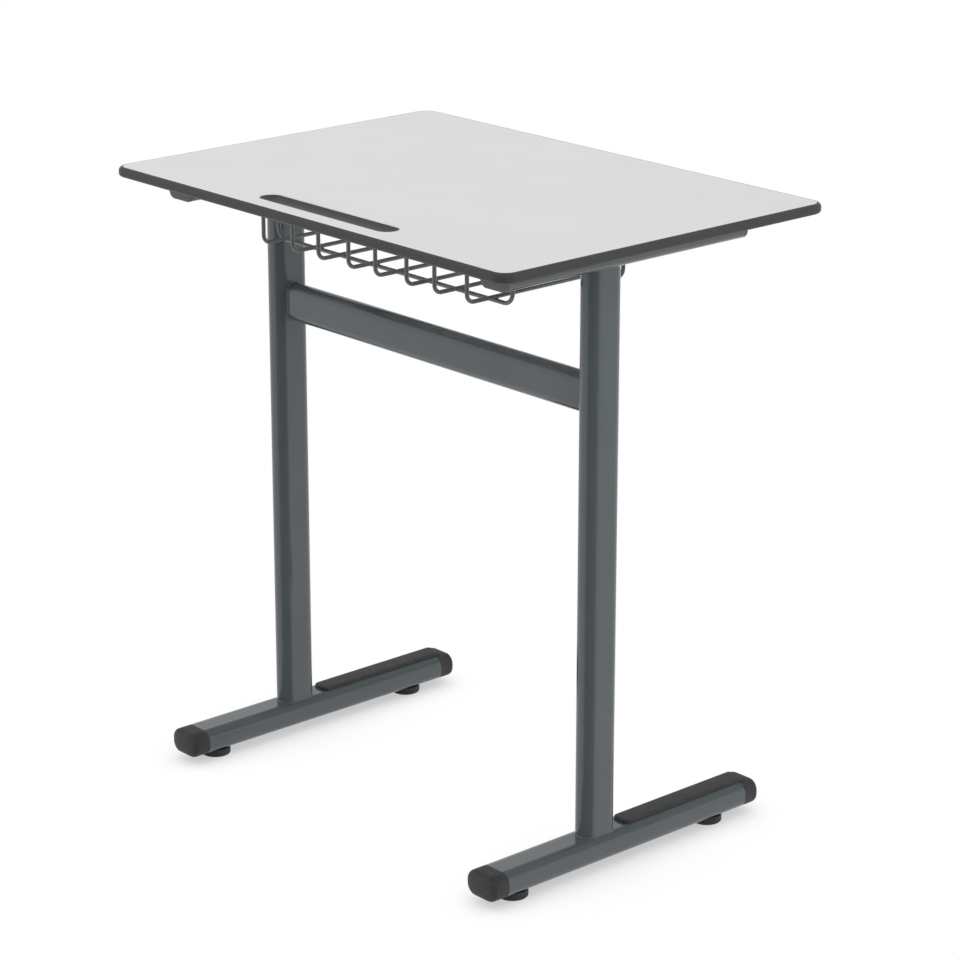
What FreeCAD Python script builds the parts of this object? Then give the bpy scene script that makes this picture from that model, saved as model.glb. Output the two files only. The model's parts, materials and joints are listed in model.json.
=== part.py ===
import FreeCAD, Part
import math
import os

# Single school desk: a thin compact worktop on two T-shaped legs, with a wire book basket.
# Frame: +Z up, origin on the floor under the middle of the worktop, millimetres.
# The pupil sits on the -Y side and looks along +Y, so +X is the pupil's right hand.

V = FreeCAD.Vector

# Worktop
TOP_WIDTH = 700.0
TOP_DEPTH = 500.0
DESK_HEIGHT = 760.0
BOARD_THICKNESS = 12.0
CORNER_RADIUS = 20.0
TOP_NOSING = 5.0
UNDER_NOSING = 4.0
LAMINATE_THICKNESS = 0.8

# Pen groove, milled through the laminate into the dark core near the far edge
GROOVE_LENGTH = 236.0
GROOVE_WIDTH = 30.0
GROOVE_DEPTH = 4.9
GROOVE_SHIFT_X = -8.0
GROOVE_FROM_EDGE = 27.0

# Legs, measured inwards from the worktop's side edge and far edge
LEG_INSET = 70.0
COLUMN_FROM_EDGE = 207.5
COLUMN_WIDTH = 30.0
COLUMN_DEPTH = 50.0
COLUMN_WALL = 2.0

# Support arms under the worktop
ARM_WIDTH = 44.0
ARM_HEIGHT = 26.0
ARM_CORNER = 9.5
ARM_WALL = 2.0
ARM_FRONT_INSET = 47.0
ARM_REAR_INSET = 80.0
ARM_CAP_HEAD = 5.0
ARM_CAP_PLUG = 12.0

# Crossbar between the columns
BAR_HEIGHT = 48.0
BAR_THICKNESS = 25.0
BAR_WALL = 1.5
BAR_CENTRE_HEIGHT = 572.0

# Feet, with their end caps
FOOT_WIDTH = 50.0
FOOT_HEIGHT = 31.0
FOOT_CORNER = 13.5
FOOT_WALL = 2.0
FOOT_FRONT_INSET = 26.0
FOOT_REAR_INSET = 37.0
FOOT_CAP_HEAD = 26.0
FOOT_CAP_PLUG = 18.0
FOOT_CAP_ROUND = 7.0

# Scuff pads on top of the feet, on the pupil's side of the columns
PAD_WIDTH = 26.5
PAD_CORNER = 7.0
PAD_HEIGHT = 4.5
PAD_ROUND = 3.0
PAD_COLUMN_GAP = 16.0
PAD_STUD_DIAMETER = 6.0
PAD_STUD_LENGTH = 7.0
PAD_STUD_INSET = 24.0

# Levelling glides
GLIDE_DIAMETER = 37.0
GLIDE_HEIGHT = 10.0
GLIDE_EDGE = 2.0
GLIDE_FRONT_INSET = 27.0
GLIDE_REAR_INSET = 42.0
STUD_DIAMETER = 8.0
STUD_TOP_GAP = 4.0
STUD_FOOT = 4.0
NUT_FLATS = 13.0
NUT_HEIGHT = 7.0

# Wire book basket
WIRE_DIAMETER = 5.0
WIRE_BEND = 10.0
CROSS_WIRE_BEND = 14.0
BASKET_DEPTH = 71.0
BASKET_SIDE_GAP = 47.5
BASKET_FRONT_INSET = 97.0
BASKET_LENGTH = 231.5
HAIRPINS = 4
HAIRPIN_WIDTH = 55.0
BASKET_END_MARGIN = 27.0
FRONT_CROSS_SETBACK = 44.0
REAR_CROSS_SETBACK = 17.0
LIP_HEIGHT = 12.0
RAIL_WIDTH = 16.0
RAIL_THICKNESS = 2.0
RAIL_OVERHANG = 12.0

# Fasteners and welds
ARM_SCREW_DIAMETER = 6.0
ARM_SCREW_HEAD = 11.0
ARM_SCREW_HEAD_HEIGHT = 3.5
INSERT_DIAMETER = 8.0
INSERT_DEPTH = 6.5
ACCESS_HOLE = 13.0
ARM_SCREW_END_INSET = 25.0
ARM_SCREW_COLUMN_GAP = 35.0
BASKET_SCREW_DIAMETER = 4.0
BASKET_SCREW_HEAD = 8.0
BASKET_SCREW_HEAD_HEIGHT = 2.4
BASKET_SCREW_DEPTH = 6.0
BASKET_SCREW_INSET = 20.0
WELD_LEG = 1.4

# Clearances
PLUG_CLEARANCE = 0.15
STUD_HOLE_CLEARANCE = 0.2
THREAD_CLEARANCE = 0.05
STOP_GAP = 0.3

# Derived places
LEG_X = TOP_WIDTH / 2 - LEG_INSET
COLUMN_Y = TOP_DEPTH / 2 - COLUMN_FROM_EDGE
BOARD_UNDERSIDE = DESK_HEIGHT - BOARD_THICKNESS
ARM_UNDERSIDE = BOARD_UNDERSIDE - ARM_HEIGHT
ARM_FRONT = TOP_DEPTH / 2 - ARM_FRONT_INSET - ARM_CAP_HEAD
ARM_REAR = -TOP_DEPTH / 2 + ARM_REAR_INSET + ARM_CAP_HEAD
FOOT_UNDERSIDE = GLIDE_HEIGHT
FOOT_TOP = FOOT_UNDERSIDE + FOOT_HEIGHT
FOOT_FRONT = TOP_DEPTH / 2 - FOOT_FRONT_INSET - FOOT_CAP_HEAD
FOOT_REAR = -TOP_DEPTH / 2 + FOOT_REAR_INSET + FOOT_CAP_HEAD
PAD_FRONT = COLUMN_Y - COLUMN_DEPTH / 2 - PAD_COLUMN_GAP
SIDES = (("left", -1.0), ("right", 1.0))
GLIDE_PLACES = (
    ("front_left", -LEG_X, FOOT_FRONT - GLIDE_FRONT_INSET),
    ("front_right", LEG_X, FOOT_FRONT - GLIDE_FRONT_INSET),
    ("rear_left", -LEG_X, FOOT_REAR + GLIDE_REAR_INSET),
    ("rear_right", LEG_X, FOOT_REAR + GLIDE_REAR_INSET),
)
ARM_SCREW_YS = (
    ARM_FRONT - ARM_SCREW_END_INSET,
    COLUMN_Y + COLUMN_DEPTH / 2 + ARM_SCREW_COLUMN_GAP,
    COLUMN_Y - COLUMN_DEPTH / 2 - ARM_SCREW_COLUMN_GAP,
    ARM_REAR + ARM_SCREW_END_INSET,
)
BASKET_HALF_WIDTH = LEG_X - ARM_WIDTH / 2 - BASKET_SIDE_GAP
BASKET_FRONT = TOP_DEPTH / 2 - BASKET_FRONT_INSET
BASKET_REAR = BASKET_FRONT - BASKET_LENGTH
BASKET_FLOOR = BOARD_UNDERSIDE - BASKET_DEPTH + WIRE_DIAMETER / 2
RAIL_UNDERSIDE = BOARD_UNDERSIDE - RAIL_THICKNESS


def rounded_profile(width, height, radius):
    """A face in the XY plane: a rectangle with quarter-circle corners, or an oval."""
    radius = min(radius, width / 2, height / 2)
    a = width / 2 - radius
    b = height / 2 - radius
    corners = ((a, b, 0), (-a, b, 90), (-a, -b, 180), (a, -b, 270))
    edges = []
    ends = []
    for cx, cy, start in corners:
        points = []
        for angle in (start, start + 45, start + 90):
            turn = math.radians(angle)
            points.append(V(cx + radius * math.cos(turn), cy + radius * math.sin(turn), 0))
        edges.append(Part.Arc(*points).toShape())
        ends.append((points[0], points[2]))
    for index in range(4):
        leave = ends[index][1]
        arrive = ends[(index + 1) % 4][0]
        if leave.distanceToPoint(arrive) > 1e-6:
            edges.append(Part.LineSegment(leave, arrive).toShape())
    return Part.Face(Part.Wire(Part.__sortEdges__(edges)))


def bar(width, height, radius, length):
    """A solid rounded bar, its section centred on the Z axis, from z = 0 to its length."""
    return rounded_profile(width, height, radius).extrude(V(0, 0, length))


def along_x(shape, x, y, z):
    """Lays a bar along +X: its width stands up along Z, and its start is at the given point."""
    shape.rotate(V(0, 0, 0), V(0, 1, 0), 90)
    shape.translate(V(x, y, z))
    return shape


def along_y(shape, x, y, z):
    """Lays a bar along +Y: its height stands up along Z, and its start is at the given point."""
    shape.rotate(V(0, 0, 0), V(1, 0, 0), -90)
    shape.translate(V(x, y, z))
    return shape


def upright(shape, x, y, z):
    """Puts a bar or a post on end with its start at the given point."""
    shape.translate(V(x, y, z))
    return shape


def post(diameter, length, x, y, z):
    """A round post or a hole's cutter standing on the given point."""
    return Part.makeCylinder(diameter / 2, length, V(x, y, z))


def arm_bar(side, shrink, start, end):
    """The solid of a support arm's section, drawn in by shrink, between two places in Y."""
    section = bar(ARM_WIDTH - 2 * shrink, ARM_HEIGHT - 2 * shrink, ARM_CORNER - shrink, end - start)
    return along_y(section, side * LEG_X, start, ARM_UNDERSIDE + ARM_HEIGHT / 2)


def foot_bar(side, shrink, start, end):
    """The solid of a foot's section, drawn in by shrink, between two places in Y."""
    section = bar(FOOT_WIDTH - 2 * shrink, FOOT_HEIGHT - 2 * shrink, FOOT_CORNER - shrink, end - start)
    return along_y(section, side * LEG_X, start, FOOT_UNDERSIDE + FOOT_HEIGHT / 2)


def column_bar(side, grow, bottom, top):
    """The solid of a column's oval section, grown or drawn in, between two heights."""
    width = COLUMN_WIDTH + 2 * grow
    depth = COLUMN_DEPTH + 2 * grow
    return upright(bar(width, depth, width / 2, top - bottom), side * LEG_X, COLUMN_Y, bottom)


def crossbar_bar(grow, start, end):
    """The solid of the crossbar's oval section, grown or drawn in, between two places in X."""
    height = BAR_HEIGHT + 2 * grow
    thickness = BAR_THICKNESS + 2 * grow
    section = bar(height, thickness, thickness / 2, end - start)
    return along_x(section, start, COLUMN_Y, BAR_CENTRE_HEIGHT)


def rim_edges(shape, height):
    """The edges of a shape that lie in the level plane at this height."""
    found = []
    for edge in shape.Edges:
        box = edge.BoundBox
        if abs(box.ZMin - height) < 1e-4 and abs(box.ZMax - height) < 1e-4:
            found.append(edge)
    return found


def groove_cutter():
    """The pen groove's hollow: a trough of circular section with ball ends, open upwards."""
    half = GROOVE_WIDTH / 2
    radius = (half ** 2 + GROOVE_DEPTH ** 2) / (2 * GROOVE_DEPTH)
    reach = GROOVE_LENGTH / 2 - half
    y = TOP_DEPTH / 2 - GROOVE_FROM_EDGE - half
    z = DESK_HEIGHT - GROOVE_DEPTH + radius
    trough = Part.makeCylinder(radius, 2 * reach, V(GROOVE_SHIFT_X - reach, y, z), V(1, 0, 0))
    for end in (-reach, reach):
        trough = trough.fuse(Part.makeSphere(radius, V(GROOVE_SHIFT_X + end, y, z)))
    return trough


def laminate_sheet(nosing, bottom):
    """A laminate sheet that stops where the board's edge begins to round."""
    radius = max(CORNER_RADIUS - nosing, 1.0)
    sheet = bar(TOP_WIDTH - 2 * nosing, TOP_DEPTH - 2 * nosing, radius, LAMINATE_THICKNESS)
    return upright(sheet, 0, 0, bottom)


def screw_places():
    """Every arm screw's place in the plan."""
    return [(side * LEG_X, y) for name, side in SIDES for y in ARM_SCREW_YS]


def basket_screw_places():
    """Every basket screw's place in the plan."""
    ys = (BASKET_FRONT - FRONT_CROSS_SETBACK + BASKET_SCREW_INSET,
          BASKET_REAR + REAR_CROSS_SETBACK + BASKET_SCREW_INSET)
    return [(side * BASKET_HALF_WIDTH, y) for name, side in SIDES for y in ys]


def worktop_core():
    """The dark solid core with rounded edges, pockets for both laminates and its holes."""
    core = upright(bar(TOP_WIDTH, TOP_DEPTH, CORNER_RADIUS, BOARD_THICKNESS), 0, 0, BOARD_UNDERSIDE)
    top_round = min(TOP_NOSING, 0.55 * BOARD_THICKNESS)
    under_round = min(UNDER_NOSING, 0.42 * BOARD_THICKNESS)
    core = core.makeFillet(top_round, rim_edges(core, DESK_HEIGHT))
    core = core.makeFillet(under_round, rim_edges(core, BOARD_UNDERSIDE))
    core = core.cut(laminate_sheet(TOP_NOSING, DESK_HEIGHT - LAMINATE_THICKNESS))
    core = core.cut(laminate_sheet(UNDER_NOSING, BOARD_UNDERSIDE))
    core = core.cut(groove_cutter())
    for x, y in screw_places():
        core = core.cut(post(INSERT_DIAMETER, INSERT_DEPTH, x, y, BOARD_UNDERSIDE))
    for x, y in basket_screw_places():
        core = core.cut(post(BASKET_SCREW_DIAMETER, BASKET_SCREW_DEPTH, x, y, BOARD_UNDERSIDE))
    return core


def laminate_face():
    """The light grey writing surface, pierced by the pen groove."""
    return laminate_sheet(TOP_NOSING, DESK_HEIGHT - LAMINATE_THICKNESS).cut(groove_cutter())


def laminate_underside():
    """The balancing laminate under the board, pierced for the fasteners."""
    sheet = laminate_sheet(UNDER_NOSING, BOARD_UNDERSIDE)
    for x, y in screw_places():
        sheet = sheet.cut(post(INSERT_DIAMETER, LAMINATE_THICKNESS, x, y, BOARD_UNDERSIDE))
    for x, y in basket_screw_places():
        sheet = sheet.cut(post(BASKET_SCREW_DIAMETER, LAMINATE_THICKNESS, x, y, BOARD_UNDERSIDE))
    return sheet


def support_arm(side):
    """A rounded tube under the board, with screw holes above and access holes below."""
    arm = arm_bar(side, 0, ARM_REAR, ARM_FRONT).cut(arm_bar(side, ARM_WALL, ARM_REAR, ARM_FRONT))
    upper_wall = BOARD_UNDERSIDE - ARM_WALL
    hole = ARM_SCREW_DIAMETER + 2 * STUD_HOLE_CLEARANCE
    for y in ARM_SCREW_YS:
        arm = arm.cut(post(hole, ARM_WALL, side * LEG_X, y, upper_wall))
        arm = arm.cut(post(ACCESS_HOLE, ARM_WALL, side * LEG_X, y, ARM_UNDERSIDE))
    return arm


def arm_cap(side, end):
    """A plastic plug that closes one end of an arm; end is +1 at the far edge and -1 behind."""
    face = ARM_FRONT if end > 0 else ARM_REAR
    tip = face + end * ARM_CAP_HEAD
    root = face - end * ARM_CAP_PLUG
    head = arm_bar(side, 0, min(face, tip), max(face, tip))
    edges = [edge for edge in head.Edges if abs(edge.BoundBox.YMin - tip) < 1e-4
             and abs(edge.BoundBox.YMax - tip) < 1e-4]
    head = head.makeFillet(0.6 * ARM_CAP_HEAD, edges)
    plug = arm_bar(side, ARM_WALL + PLUG_CLEARANCE, min(face, root), max(face, root))
    return head.fuse(plug).removeSplitter()


def column(side):
    """An oval tube, coped onto the rounded foot below and the arm above."""
    outer = column_bar(side, 0, FOOT_TOP - FOOT_CORNER, ARM_UNDERSIDE + ARM_CORNER)
    inner = column_bar(side, -COLUMN_WALL, FOOT_TOP - FOOT_CORNER, ARM_UNDERSIDE + ARM_CORNER)
    tube = outer.cut(inner)
    tube = tube.cut(foot_bar(side, 0, FOOT_REAR, FOOT_FRONT))
    return tube.cut(arm_bar(side, 0, ARM_REAR, ARM_FRONT))


def column_blocks():
    """Both columns' outer solids, used to cope what is welded to them."""
    return [column_bar(side, 0, FOOT_TOP - FOOT_CORNER, ARM_UNDERSIDE + ARM_CORNER)
            for name, side in SIDES]


def crossbar():
    """The oval tube between the columns, its ends coped to their curved faces."""
    bar_tube = crossbar_bar(0, -LEG_X, LEG_X).cut(crossbar_bar(-BAR_WALL, -LEG_X, LEG_X))
    for block in column_blocks():
        bar_tube = bar_tube.cut(block)
    return largest(bar_tube)


def largest(shape):
    """The largest solid of a cut shape, without the crumbs that a cope leaves."""
    return max(shape.Solids, key=lambda solid: solid.Volume)


def foot_tube(side):
    """A rounded, flattened tube near the floor, with holes for glides and pad studs."""
    tube = foot_bar(side, 0, FOOT_REAR, FOOT_FRONT).cut(foot_bar(side, FOOT_WALL, FOOT_REAR, FOOT_FRONT))
    hole = STUD_DIAMETER + 2 * STUD_HOLE_CLEARANCE
    for name, x, y in GLIDE_PLACES:
        if x * side > 0:
            tube = tube.cut(post(hole, FOOT_WALL, x, y, FOOT_UNDERSIDE))
    pad_hole = PAD_STUD_DIAMETER + 2 * STUD_HOLE_CLEARANCE
    for y in pad_stud_places():
        tube = tube.cut(post(pad_hole, FOOT_WALL, side * LEG_X, y, FOOT_TOP - FOOT_WALL))
    return tube


def foot_cap(side, end):
    """A long rounded plastic cap; end is +1 at the far edge and -1 on the pupil's side."""
    face = FOOT_FRONT if end > 0 else FOOT_REAR
    tip = face + end * FOOT_CAP_HEAD
    root = face - end * FOOT_CAP_PLUG
    head = foot_bar(side, 0, min(face, tip), max(face, tip))
    edges = [edge for edge in head.Edges if abs(edge.BoundBox.YMin - tip) < 1e-4
             and abs(edge.BoundBox.YMax - tip) < 1e-4]
    head = head.makeFillet(min(FOOT_CAP_ROUND, 0.95 * FOOT_CORNER, 0.9 * FOOT_CAP_HEAD), edges)
    plug = foot_bar(side, FOOT_WALL + PLUG_CLEARANCE, min(face, root), max(face, root))
    return head.fuse(plug).removeSplitter()


def pad_stud_places():
    """The two places in Y where a scuff pad is pressed into its foot."""
    return (PAD_FRONT - PAD_STUD_INSET, FOOT_REAR + GLIDE_REAR_INSET + PAD_STUD_INSET)


def scuff_pad(side):
    """A ribless plastic tread that saddles the foot's top, with two push-in studs."""
    length = PAD_FRONT - FOOT_REAR
    base = FOOT_TOP - FOOT_CORNER
    plan = bar(PAD_WIDTH, length + PAD_WIDTH, PAD_CORNER, FOOT_CORNER + PAD_HEIGHT)
    pad = upright(plan, side * LEG_X, PAD_FRONT - (length + PAD_WIDTH) / 2, base)
    pad = pad.makeFillet(min(PAD_ROUND, 0.9 * PAD_HEIGHT), rim_edges(pad, FOOT_TOP + PAD_HEIGHT))
    pad = pad.cut(foot_bar(side, 0, FOOT_REAR - PAD_WIDTH, FOOT_FRONT))
    pad = pad.cut(Part.makeBox(2 * FOOT_WIDTH, 2 * PAD_WIDTH, DESK_HEIGHT,
                               V(side * LEG_X - FOOT_WIDTH, FOOT_REAR - 2 * PAD_WIDTH, 0)))
    for y in pad_stud_places():
        stud_root = FOOT_TOP + PAD_HEIGHT / 2
        stud_length = stud_root - FOOT_TOP + PAD_STUD_LENGTH
        pad = pad.fuse(post(PAD_STUD_DIAMETER, stud_length, side * LEG_X, y, stud_root - stud_length))
    return largest(pad.removeSplitter())


def glide_stud(x, y):
    """The threaded stud: it stands in the pad and runs up through the nut."""
    top = FOOT_TOP - FOOT_WALL - STUD_TOP_GAP
    stud = post(STUD_DIAMETER, top - STUD_FOOT, x, y, STUD_FOOT)
    return stud.makeChamfer(0.12 * STUD_DIAMETER, rim_edges(stud, top))


def glide_pad(x, y):
    """The round plastic glide moulded onto its stud, a hair under the foot at rest."""
    pad = post(GLIDE_DIAMETER, GLIDE_HEIGHT - STOP_GAP, x, y, 0)
    pad = pad.makeFillet(min(GLIDE_EDGE, 0.4 * GLIDE_HEIGHT), rim_edges(pad, 0))
    pad = pad.makeChamfer(0.06 * GLIDE_HEIGHT, rim_edges(pad, GLIDE_HEIGHT - STOP_GAP))
    return pad.cut(post(STUD_DIAMETER, GLIDE_HEIGHT, x, y, STUD_FOOT))


def glide_nut(x, y):
    """A hexagon nut welded to the foot's inner floor."""
    corner = NUT_FLATS / math.sqrt(3)
    floor = FOOT_UNDERSIDE + FOOT_WALL
    points = []
    for index in range(7):
        turn = math.radians(60 * index)
        points.append(V(x + corner * math.cos(turn), y + corner * math.sin(turn), floor))
    nut = Part.Face(Part.makePolygon(points)).extrude(V(0, 0, NUT_HEIGHT))
    return nut.cut(post(STUD_DIAMETER + 2 * THREAD_CLEARANCE, NUT_HEIGHT, x, y, floor))


def glide_nuts():
    """All four nuts."""
    return Part.makeCompound([glide_nut(x, y) for name, x, y in GLIDE_PLACES])


def bent_wire(corners, bend):
    """A round wire along straight runs, with an arc of the bend radius at each corner."""
    path = []
    start = corners[0]
    for index in range(1, len(corners) - 1):
        corner = corners[index]
        back = (corners[index - 1] - corner).normalize()
        ahead = (corners[index + 1] - corner).normalize()
        into = corner + back * bend
        out = corner + ahead * bend
        centre = corner + (back + ahead) * bend
        middle = centre + (corner - centre).normalize() * bend
        path.append(Part.LineSegment(start, into).toShape())
        path.append(Part.Arc(into, middle, out).toShape())
        start = out
    path.append(Part.LineSegment(start, corners[-1]).toShape())
    spine = Part.Wire(path)
    direction = (corners[1] - corners[0]).normalize()
    circle = Part.makeCircle(WIRE_DIAMETER / 2, corners[0], direction)
    return spine.makePipeShell([Part.Wire([circle])], True, True)


def hairpin(left, right):
    """One hairpin of the basket: two floor wires joined by a loop at the far end."""
    top = RAIL_UNDERSIDE - WIRE_DIAMETER / 2
    lip = BASKET_FLOOR + LIP_HEIGHT + WIRE_DIAMETER / 2
    corners = [
        V(left, BASKET_REAR, lip),
        V(left, BASKET_REAR, BASKET_FLOOR),
        V(left, BASKET_FRONT, BASKET_FLOOR),
        V(left, BASKET_FRONT, top),
        V(right, BASKET_FRONT, top),
        V(right, BASKET_FRONT, BASKET_FLOOR),
        V(right, BASKET_REAR, BASKET_FLOOR),
        V(right, BASKET_REAR, lip),
    ]
    return bent_wire(corners, WIRE_BEND)


def basket_hairpins():
    """The floor wires, in pairs that share a loop, evenly spread over the basket's width."""
    span = 2 * (BASKET_HALF_WIDTH - BASKET_END_MARGIN)
    pitch = (span - HAIRPIN_WIDTH) / (HAIRPINS - 1)
    wires = []
    for index in range(HAIRPINS):
        left = -span / 2 + index * pitch
        wires.append(hairpin(left, left + HAIRPIN_WIDTH))
    return Part.makeCompound(wires)


def cross_wire(y, z):
    """A cross wire whose ends turn up to the side rails."""
    corners = [
        V(-BASKET_HALF_WIDTH, y, RAIL_UNDERSIDE),
        V(-BASKET_HALF_WIDTH, y, z),
        V(BASKET_HALF_WIDTH, y, z),
        V(BASKET_HALF_WIDTH, y, RAIL_UNDERSIDE),
    ]
    return bent_wire(corners, CROSS_WIRE_BEND)


def basket_cross_wires():
    """The two wires that carry the floor, and the lip wire behind the upturned ends."""
    below = BASKET_FLOOR - WIRE_DIAMETER
    return Part.makeCompound([
        cross_wire(BASKET_FRONT - FRONT_CROSS_SETBACK, below),
        cross_wire(BASKET_REAR + REAR_CROSS_SETBACK, below),
        cross_wire(BASKET_REAR - WIRE_DIAMETER, BASKET_FLOOR + LIP_HEIGHT),
    ])


def basket_rail(side):
    """A flat steel strip that the cross wires are welded to, screwed under the board."""
    length = BASKET_LENGTH + RAIL_OVERHANG
    strip = bar(RAIL_WIDTH, length, RAIL_WIDTH / 4, RAIL_THICKNESS)
    middle = (BASKET_FRONT + BASKET_REAR - RAIL_OVERHANG) / 2
    strip = upright(strip, side * BASKET_HALF_WIDTH, middle, RAIL_UNDERSIDE)
    hole = BASKET_SCREW_DIAMETER + 2 * STUD_HOLE_CLEARANCE
    for x, y in basket_screw_places():
        strip = strip.cut(post(hole, RAIL_THICKNESS, x, y, RAIL_UNDERSIDE))
    return strip


def pan_screw(diameter, head, head_height, shank, x, y, seat):
    """A pan-head screw that points upwards, its head's bearing face at the seat height."""
    top = post(head, head_height, x, y, seat - head_height)
    top = top.makeFillet(0.45 * head_height, rim_edges(top, seat - head_height))
    socket = post(0.42 * head, 0.5 * head_height, x, y, seat - head_height)
    return top.cut(socket).fuse(post(diameter, shank, x, y, seat)).removeSplitter()


def arm_screws():
    """The machine screws inside the arms, which pull the board down onto them."""
    seat = BOARD_UNDERSIDE - ARM_WALL
    shank = ARM_WALL + 0.85 * INSERT_DEPTH
    return Part.makeCompound([
        pan_screw(ARM_SCREW_DIAMETER, ARM_SCREW_HEAD, ARM_SCREW_HEAD_HEIGHT, shank, x, y, seat)
        for x, y in screw_places()])


def worktop_inserts():
    """The threaded inserts in the board's underside."""
    inserts = []
    for x, y in screw_places():
        insert = post(INSERT_DIAMETER, INSERT_DEPTH, x, y, BOARD_UNDERSIDE)
        inserts.append(insert.cut(post(ARM_SCREW_DIAMETER, INSERT_DEPTH, x, y, BOARD_UNDERSIDE)))
    return Part.makeCompound(inserts)


def basket_screws():
    """The screws that hold the basket's rails to the board."""
    shank = RAIL_THICKNESS + 0.9 * BASKET_SCREW_DEPTH
    return Part.makeCompound([
        pan_screw(BASKET_SCREW_DIAMETER, BASKET_SCREW_HEAD, BASKET_SCREW_HEAD_HEIGHT, shank, x, y,
                  RAIL_UNDERSIDE)
        for x, y in basket_screw_places()])


def foot_weld(side):
    """The weld bead round a column's lower end."""
    bead = column_bar(side, WELD_LEG, FOOT_TOP - FOOT_CORNER, FOOT_TOP + WELD_LEG)
    bead = bead.makeChamfer(0.8 * WELD_LEG, rim_edges(bead, FOOT_TOP + WELD_LEG))
    bead = bead.cut(column_bar(side, 0, 0, DESK_HEIGHT))
    return largest(bead.cut(foot_bar(side, 0, FOOT_REAR, FOOT_FRONT)))


def arm_weld(side):
    """The weld bead round a column's upper end."""
    bead = column_bar(side, WELD_LEG, ARM_UNDERSIDE - WELD_LEG, ARM_UNDERSIDE + ARM_CORNER)
    bead = bead.makeChamfer(0.8 * WELD_LEG, rim_edges(bead, ARM_UNDERSIDE - WELD_LEG))
    bead = bead.cut(column_bar(side, 0, 0, DESK_HEIGHT))
    return largest(bead.cut(arm_bar(side, 0, ARM_REAR, ARM_FRONT)))


def crossbar_weld(side):
    """The weld bead round one end of the crossbar."""
    inner = LEG_X - COLUMN_WIDTH / 2
    reach = COLUMN_WIDTH / 4 + WELD_LEG
    start = inner - WELD_LEG
    bead = crossbar_bar(WELD_LEG, start, start + reach)
    edges = [edge for edge in bead.Edges if abs(edge.BoundBox.XMin - start) < 1e-4
             and abs(edge.BoundBox.XMax - start) < 1e-4]
    bead = bead.makeChamfer(0.8 * WELD_LEG, edges)
    bead = bead.cut(crossbar_bar(0, 0, 2 * LEG_X)).cut(column_bar(1.0, 0, 0, DESK_HEIGHT))
    bead = largest(bead)
    if side < 0:
        bead = bead.mirror(V(0, 0, 0), V(1, 0, 0))
    return bead


def weld_beads():
    """All the frame's weld beads."""
    beads = []
    for name, side in SIDES:
        beads += [foot_weld(side), arm_weld(side), crossbar_weld(side)]
    return Part.makeCompound(beads)


def desk():
    """Every sub-part of the desk by its name."""
    parts = {
        "worktop_core": worktop_core(),
        "laminate_face": laminate_face(),
        "laminate_underside": laminate_underside(),
        "worktop_inserts": worktop_inserts(),
        "arm_screws": arm_screws(),
        "crossbar": crossbar(),
        "weld_beads": weld_beads(),
        "glide_nuts": glide_nuts(),
        "basket_hairpins": basket_hairpins(),
        "basket_cross_wires": basket_cross_wires(),
        "basket_screws": basket_screws(),
    }
    for name, side in SIDES:
        parts["support_arm_" + name] = support_arm(side)
        parts["arm_cap_front_" + name] = arm_cap(side, 1.0)
        parts["arm_cap_rear_" + name] = arm_cap(side, -1.0)
        parts["column_" + name] = column(side)
        parts["foot_tube_" + name] = foot_tube(side)
        parts["foot_cap_front_" + name] = foot_cap(side, 1.0)
        parts["foot_cap_rear_" + name] = foot_cap(side, -1.0)
        parts["scuff_pad_" + name] = scuff_pad(side)
        parts["basket_rail_" + name] = basket_rail(side)
    for name, x, y in GLIDE_PLACES:
        parts["glide_pad_" + name] = glide_pad(x, y)
        parts["glide_stud_" + name] = glide_stud(x, y)
    return parts


os.makedirs("parts", exist_ok=True)
for node, shape in desk().items():
    if not shape.isValid():
        raise ValueError(node + " is not a valid shape")
    shape.exportStep("parts/" + node + ".step")
    box = shape.BoundBox
    print("%-24s solids %2d  volume %10.0f  x %.1f %.1f  y %.1f %.1f  z %.1f %.1f" % (
        node, len(shape.Solids), shape.Volume, box.XMin, box.XMax, box.YMin, box.YMax,
        box.ZMin, box.ZMax))
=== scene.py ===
# %% [markdown]
# # A school desk, made ready for its picture
#
# The desk is a thin board on two T-shaped legs, with a wire book basket under it. Its measured parts come
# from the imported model, and every one of them already stands in the right place. What is left for Blender is
# what the eye asks for: soft plastic caps, a bullnosed board edge, rippled weld beads, round wire, and
# finishes that catch the light as paint, laminate and moulded plastic do.
#
# Lengths are in metres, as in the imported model. MM and MICRON turn smaller units into them.

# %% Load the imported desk
import json
import bmesh
import bpy
import numpy as np
from mathutils import Matrix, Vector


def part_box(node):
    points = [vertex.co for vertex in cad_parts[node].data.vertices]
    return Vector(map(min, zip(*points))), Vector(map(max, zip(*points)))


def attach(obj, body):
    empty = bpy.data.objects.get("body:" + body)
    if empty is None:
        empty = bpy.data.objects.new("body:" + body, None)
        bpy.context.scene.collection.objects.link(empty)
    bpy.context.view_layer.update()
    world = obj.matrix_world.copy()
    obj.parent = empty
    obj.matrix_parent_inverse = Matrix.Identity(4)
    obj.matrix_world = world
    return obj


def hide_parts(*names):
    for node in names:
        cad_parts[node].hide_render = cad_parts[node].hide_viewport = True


MM = 0.001
MICRON = 0.000001

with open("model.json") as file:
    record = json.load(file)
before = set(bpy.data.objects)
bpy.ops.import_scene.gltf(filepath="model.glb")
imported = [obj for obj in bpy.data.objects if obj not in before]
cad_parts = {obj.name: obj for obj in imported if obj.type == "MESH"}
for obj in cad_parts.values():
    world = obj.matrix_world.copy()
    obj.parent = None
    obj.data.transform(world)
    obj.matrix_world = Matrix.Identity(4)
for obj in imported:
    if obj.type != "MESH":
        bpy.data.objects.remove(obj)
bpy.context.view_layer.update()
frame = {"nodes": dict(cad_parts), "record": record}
print("parts in the packed desk:", len(frame["nodes"]))

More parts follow.
